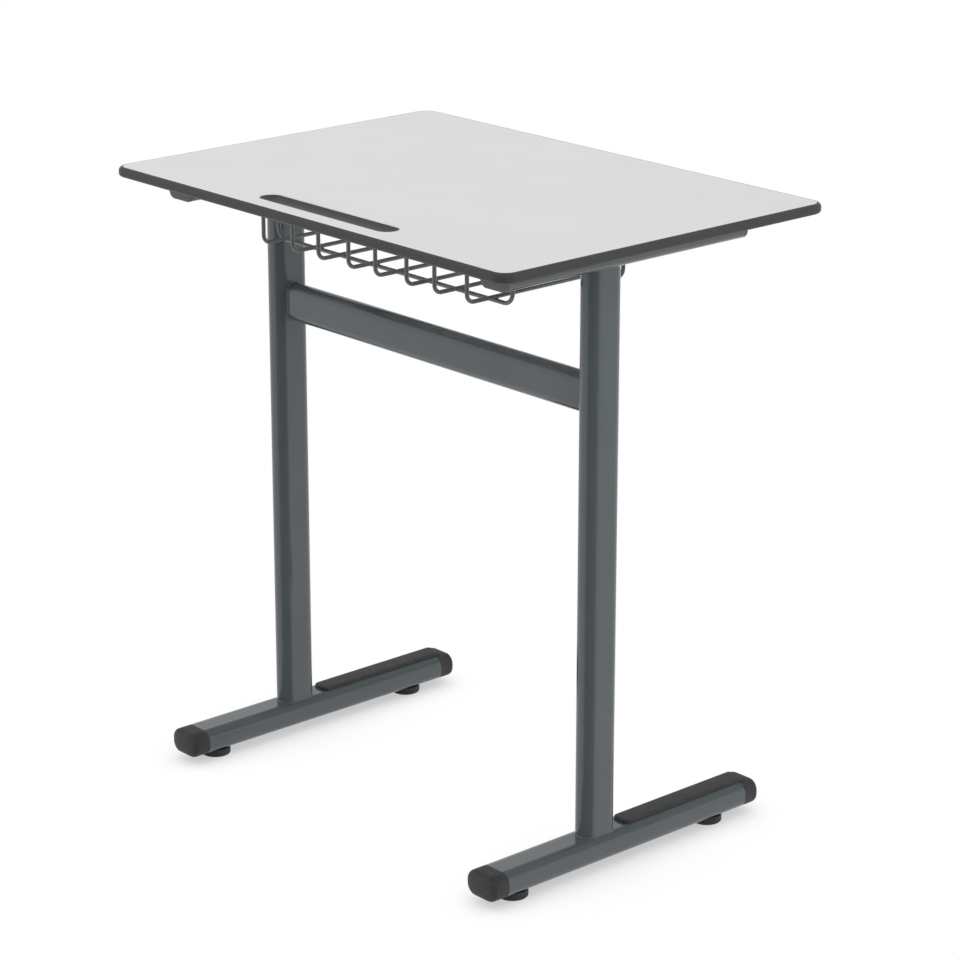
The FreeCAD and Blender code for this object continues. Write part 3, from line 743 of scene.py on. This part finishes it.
def glide_profile():
    """Radii and heights of a glide disc, whose rounded sole is a little hollow, and the wear of each."""
    hollow = [(0, HOLLOW_DEPTH), (HOLLOW_RADIUS, HOLLOW_DEPTH), (TREAD_RADIUS, 0)]
    sole = [(GLIDE_RADIUS - SOLE_ROUND * (1 - np.sin(t)), SOLE_ROUND * (1 - np.cos(t)))
            for t in quarter_turn(5)]
    side = [(GLIDE_RADIUS, SIDE_MIDDLE), (GLIDE_RADIUS, GLIDE_TOP - CROWN_CHAMFER)]
    crown = [(GLIDE_RADIUS - CROWN_CHAMFER, GLIDE_TOP)]
    socket = [(STUD_RADIUS, GLIDE_TOP), (STUD_RADIUS, STUD_FOOT), (0, STUD_FOOT)]
    wear = [0.0] * len(hollow) + [0.3] * len(sole) + [0.15, 0.3] + [0.2] + [0.0] * len(socket)
    return hollow + sole + side + crown + socket, wear


def thread(x, y):
    """A threaded stud: the radius dips where the angle and the height are half a turn apart."""
    heights = np.arange(STUD_FOOT, STUD_TOP, PITCH / 8)
    turn = np.linspace(0, 2 * np.pi, THREAD_SIDES, endpoint=False)
    phase = (turn[None, :] / (2 * np.pi) - heights[:, None] / PITCH) % 1.0
    dip = THREAD_DEPTH * np.abs(2 * phase - 1)
    plain = heights[:, None] < THREAD_START
    run_out = np.clip((STUD_TOP - heights[:, None]) / TIP_LENGTH, 0, 1)
    radius = (STUD_RADIUS - np.where(plain, 0, dip)) * (TIP_SHARE + (1 - TIP_SHARE) * run_out)
    points = np.stack([x + radius * np.cos(turn), y + radius * np.sin(turn),
                       np.broadcast_to(heights[:, None], radius.shape)], axis=-1)
    low = np.broadcast_to((x, y, STUD_FOOT), (1, THREAD_SIDES, 3))
    high = np.broadcast_to((x, y, STUD_TOP), (1, THREAD_SIDES, 3))
    lip = points[-1:].copy()
    lip[..., 2] = STUD_TOP
    return np.concatenate([low, points, lip, high])


for name in ("front_left", "front_right", "rear_left", "rear_right"):
    low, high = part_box("glide_stud_" + name)
    x = (low.x + high.x) / 2
    y = (low.y + high.y) / 2
    profile, wear = glide_profile()
    rows = lathe(profile, x, y)
    make_piece("glide_disc_" + name, [skin(rows)], glide_plastic, body="glide_" + name,
               stands_for=["glide_pad_" + name], crisp=35.0, wear=wear_of(rows, wear))
    make_piece("glide_thread_" + name, [skin(thread(x, y))], zinc,
               body="glide_" + name, stands_for=["glide_stud_" + name], crisp=50.0)

# %% [markdown]
# ## The wire basket
#
# The basket is bent from 5 mm wire. Four hairpins make its floor: each runs forward, turns up, crosses over
# and comes back, and its rear ends are turned up into a lip. Two cross wires carry them and a third ties the
# lip. A wire is a circle carried along straight runs and arcs. In each arc the circle's two directions turn
# with the path about the bend's axis, so the tube never twists or pinches.

# %% A bent wire
WIRE_RADIUS = 2.5 * MM
WIRE_END = ((0.0, 0.0), (0.6, 0.0), (0.9, 0.25 * MM), (1.0, 0.8 * MM))


def turned(vectors, axis, angle):
    """Vectors turned about an axis by each angle: the part along the axis stays, the rest goes round."""
    along = axis * (vectors @ axis)
    rest = vectors - along
    side = np.cross(axis, rest)
    return along + np.cos(angle)[:, None] * rest + np.sin(angle)[:, None] * side


def bent_wire(corners, bend, sides=20, steps=8):
    """The skin of a round wire whose right-angled corners are rounded to the bend radius."""
    corners = np.asarray(corners, float)
    runs = corners[1:] - corners[:-1]
    ways = runs / np.linalg.norm(runs, axis=1, keepdims=True)
    right = np.cross(ways[0], ways[1])
    right /= np.linalg.norm(right)
    turn = np.linspace(0, 2 * np.pi, sides, endpoint=False)
    rows = []

    def ring(centre, way, right, radius=WIRE_RADIUS):
        up = np.cross(way, right)
        return centre + radius * (np.cos(turn)[:, None] * right + np.sin(turn)[:, None] * up)

    for share, back in WIRE_END:
        rows.append(ring(corners[0] + ways[0] * back, ways[0], right, WIRE_RADIUS * share))
    for number in range(1, len(corners) - 1):
        before, after = ways[number - 1], ways[number]
        axis = np.cross(before, after)
        angles = quarter_turn(steps)
        centre = corners[number] - before * bend + after * bend
        spokes = turned(-after * bend, axis, angles)
        directions = turned(before, axis, angles)
        rights = turned(right, axis, angles)
        rows += [ring(centre + s, d, r) for s, d, r in zip(spokes, directions, rights)]
        right = rights[-1]
    for share, back in WIRE_END[::-1]:
        rows.append(ring(corners[-1] - ways[-1] * back, ways[-1], right, WIRE_RADIUS * share))
    return skin(rows)


# %% Hairpins, cross wires and their spot welds
BASKET_FRONT = 153 * MM
BASKET_REAR = -78.5 * MM
BASKET_FLOOR = 679.5 * MM
BASKET_HALF = 209 * MM
LOOP_TOP = 743.5 * MM
LIP_TOP = BASKET_FLOOR + 14.5 * MM
RAIL_THICKNESS = 2 * MM
RAIL_UNDERSIDE = BOARD_UNDERSIDE - RAIL_THICKNESS
HAIRPIN_WIDTH = 55 * MM
HAIRPIN_BEND = 10 * MM
CROSS_BEND = 14 * MM
CROSS_YS = (109 * MM, -61.5 * MM)
LIP_Y = BASKET_REAR - 2 * WIRE_RADIUS
LIP_WIRE_Z = BASKET_FLOOR + 12 * MM
SPOT_RADIUS = 2.4 * MM
SPOT_HALF = 1.2 * MM
FIRST_HAIRPIN = -182 * MM
LAST_HAIRPIN = 127 * MM
HAIRPINS = 4
hairpin_lefts = np.linspace(FIRST_HAIRPIN, LAST_HAIRPIN, HAIRPINS)


def hairpin(left):
    """One hairpin: lip, floor wire, loop at the far end, floor wire, lip."""
    right = left + HAIRPIN_WIDTH
    path = [(BASKET_REAR, LIP_TOP), (BASKET_REAR, BASKET_FLOOR),
            (BASKET_FRONT, BASKET_FLOOR), (BASKET_FRONT, LOOP_TOP)]
    there = [(left, y, z) for y, z in path]
    return bent_wire(there + [(right, y, z) for y, z in path[::-1]], HAIRPIN_BEND)


def cross_wire(y, z):
    """A wire across the basket whose ends turn up to the rails."""
    return bent_wire([(-BASKET_HALF, y, RAIL_UNDERSIDE), (-BASKET_HALF, y, z), (BASKET_HALF, y, z),
                      (BASKET_HALF, y, RAIL_UNDERSIDE)], CROSS_BEND)


make_piece("hairpin_wires", list(map(hairpin, hairpin_lefts)), wire_paint,
           stands_for=["basket_hairpins"], crisp=50.0)
crossing = [cross_wire(y, BASKET_FLOOR - 2 * WIRE_RADIUS) for y in CROSS_YS]
crossing.append(cross_wire(LIP_Y, LIP_WIRE_Z))
make_piece("cross_wires", crossing, wire_paint, stands_for=["basket_cross_wires"], crisp=50.0)


def spot(centre, sizes):
    """A small flattened ball of weld metal between two wires."""
    latitude = np.linspace(-np.pi / 2, np.pi / 2, 9)[:, None]
    turn = np.linspace(0, 2 * np.pi, 16, endpoint=False)
    ball = np.stack([np.cos(latitude) * np.cos(turn), np.cos(latitude) * np.sin(turn),
                     np.sin(latitude) * np.ones_like(turn)], axis=-1)
    return skin(np.asarray(centre) + ball * sizes)


wire_xs = np.concatenate([hairpin_lefts, hairpin_lefts + HAIRPIN_WIDTH])
spots = [spot((x, y, BASKET_FLOOR - WIRE_RADIUS), (SPOT_RADIUS, SPOT_RADIUS, SPOT_HALF))
         for x in wire_xs for y in CROSS_YS]
spots += [spot((x, LIP_Y + WIRE_RADIUS, LIP_WIRE_Z), (SPOT_RADIUS, SPOT_HALF, SPOT_RADIUS)) for x in wire_xs]
make_piece("wire_spot_welds", spots, wire_paint, crisp=60.0)

# %% [markdown]
# ## Floor, light and camera
#
# The desk stands on a plain white floor in a white room. To the camera the floor is a clear sheet on the
# white of the room, darkened only near the desk by how much of the sky the desk hides from it: the soft
# shadow of a studio sweep. So a glide that is screwed out below the floor stays in sight, and so does the
# desk from below. To the light the same floor is a real diffuse surface, which brightens the desk from
# underneath. The light is plain: an even white surrounding, a large soft lamp overhead and two tall ones at
# the sides.
#
# Gloss shows what stands round an object. The tubes would look flat in an all-white room, so the image that
# gloss mirrors has a darker ceiling and one dark open side. They draw the dark bands along the roundings. The
# lamps stay out of that image. The floor is in it only where it lies in deep shadow; elsewhere the white room
# shows through, which is as bright as the floor.

# %% Floor
WHITE = (1, 1, 1, 1)
FLOOR_HALF = 30.0
FLOOR_BOUNCE = 0.8
CONTACT_REACH = 0.17
CONTACT_TONE = (0.52, 0.52, 0.53, 1)


def choose(nodes, links, share, first, second):
    """The first shader where the share is 0, the second where it is 1."""
    both = nodes.new("ShaderNodeMixShader")
    links.new(share, both.inputs["Fac"])
    links.new(first, both.inputs[1])
    links.new(second, both.inputs[2])
    return both.outputs["Shader"]


def pale_floor():
    """A white floor with soft shadows where the desk comes near it, which also lights the desk from below."""
    corners = [(FLOOR_HALF * x, FLOOR_HALF * y, 0) for x, y in ((-1, -1), (1, -1), (1, 1), (-1, 1))]
    mesh = bpy.data.meshes.new("floor")
    mesh.from_pydata(corners, [], [(0, 1, 2, 3)])
    floor = bpy.data.objects.new("floor", mesh)
    bpy.context.scene.collection.objects.link(floor)
    material, shader = new_finish("pale floor", roughness=0.9, specular=0.0)
    nodes = material.node_tree.nodes
    links = material.node_tree.links
    shader.inputs["Base Color"].default_value = (FLOOR_BOUNCE, FLOOR_BOUNCE, FLOOR_BOUNCE, 1)
    near = nodes.new("ShaderNodeAmbientOcclusion")
    near.inputs["Distance"].default_value = CONTACT_REACH
    near.samples = 12
    tone = ramp(material, near.outputs["AO"], CONTACT_TONE, WHITE, start=0.12, end=0.885)
    veil = nodes.new("ShaderNodeBsdfTransparent")
    links.new(tone, veil.inputs["Color"])
    shade = nodes.new("ShaderNodeEmission")
    links.new(tone, shade.inputs["Color"])
    clear = nodes.new("ShaderNodeBsdfTransparent")
    depth = spread(material, near.outputs["AO"], 1.0, 0.0, start=0.5, end=0.95)
    rays = nodes.new("ShaderNodeLightPath")
    mirrored = choose(nodes, links, depth, clear.outputs["BSDF"], shade.outputs["Emission"])
    lit = choose(nodes, links, rays.outputs["Is Glossy Ray"], shader.outputs["BSDF"], mirrored)
    seen = choose(nodes, links, rays.outputs["Is Camera Ray"], lit, veil.outputs["BSDF"])
    links.new(seen, nodes["Material Output"].inputs["Surface"])
    mesh.materials.append(material)


pale_floor()

# %% Light
def background(nodes, strength):
    """One plain white surrounding."""
    plain = nodes.new("ShaderNodeBackground")
    plain.inputs["Color"].default_value = WHITE
    plain.inputs["Strength"].default_value = strength
    return plain.outputs["Background"]


def white_room(strength, dark_parts):
    """A white surrounding for the camera; gloss mirrors its darker parts, the ceiling and the open side."""
    world = bpy.data.worlds.new("white room")
    bpy.context.scene.world = world
    world.use_nodes = True
    nodes = world.node_tree.nodes
    links = world.node_tree.links
    rays = nodes.new("ShaderNodeLightPath")
    way = nodes.new("ShaderNodeTexCoord")
    mirrored = background(nodes, 1.0)
    for part in dark_parts:
        facing = nodes.new("ShaderNodeVectorMath")
        facing.operation = "DOT_PRODUCT"
        facing.inputs[1].default_value = part["towards"]
        links.new(way.outputs["Generated"], facing.inputs[0])
        fade = nodes.new("ShaderNodeMapRange")
        fade.interpolation_type = "SMOOTHSTEP"
        fade.inputs["From Min"].default_value = part["start"]
        fade.inputs["From Max"].default_value = part["end"]
        links.new(facing.outputs["Value"], fade.inputs["Value"])
        mirrored = choose(nodes, links, fade.outputs["Result"], mirrored, background(nodes, part["strength"]))
    lit = choose(nodes, links, rays.outputs["Is Glossy Ray"], background(nodes, strength), mirrored)
    seen = choose(nodes, links, rays.outputs["Is Camera Ray"], lit, background(nodes, 1.0))
    links.new(seen, nodes["World Output"].inputs["Surface"])


def aim(place, target):
    """A turn that points a lamp or a camera from its place at a target, upright."""
    forward = np.array(target, float) - place
    forward /= np.linalg.norm(forward)
    right = np.cross(forward, (0, 0, 1))
    right /= np.linalg.norm(right)
    up = np.cross(right, forward)
    turn = np.eye(4)
    turn[:3, 0] = right
    turn[:3, 1] = up
    turn[:3, 2] = -forward
    turn[:3, 3] = place
    return Matrix(turn.tolist())


def soft_lamp(name, place, target, width, height, watts):
    """A rectangular lamp."""
    light = bpy.data.lights.new(name, "AREA")
    light.shape = "RECTANGLE"
    light.size = width
    light.size_y = height
    light.energy = watts
    lamp = bpy.data.objects.new(name, light)
    bpy.context.scene.collection.objects.link(lamp)
    lamp.matrix_world = aim(place, target)
    lamp.visible_glossy = False


CEILING = {"towards": (0, 0, 1), "start": 0.38, "end": 0.62, "strength": 0.3}
OPEN_SIDE = {"towards": (-0.68, 0.66, -0.32), "start": 0.55, "end": 0.88, "strength": 0.08}
white_room(0.62, (CEILING, OPEN_SIDE))
soft_lamp("overhead", (0.3, 0.2, 3.2), (0, 0, 0.4), width=2.6, height=2.6, watts=27)
soft_lamp("left side", (2.2, 2.6, 1.4), (0, 0, 0.5), width=1.2, height=2.4, watts=16)
soft_lamp("right side", (-3.2, -1.2, 1.5), (0, 0, 0.5), width=1.2, height=2.4, watts=26)

# %% Camera
CAMERA_PLACE = (-2.805, 2.469, 1.625)
TURN = np.radians(-41.68)
TILT = np.radians(18.22)
LENS = 122.5
SENSOR = 36
FARTHEST = 100
camera_data = bpy.data.cameras.new("view of the desk")
camera_data.sensor_width = SENSOR
camera_data.lens = LENS
camera_data.clip_end = FARTHEST
camera = bpy.data.objects.new("view of the desk", camera_data)
bpy.context.scene.collection.objects.link(camera)
look = np.array([np.cos(TURN) * np.cos(TILT), np.sin(TURN) * np.cos(TILT), -np.sin(TILT)])
camera.matrix_world = aim(CAMERA_PLACE, np.array(CAMERA_PLACE) + look)
bpy.context.scene.camera = camera
bpy.context.scene.view_settings.view_transform = "Standard"
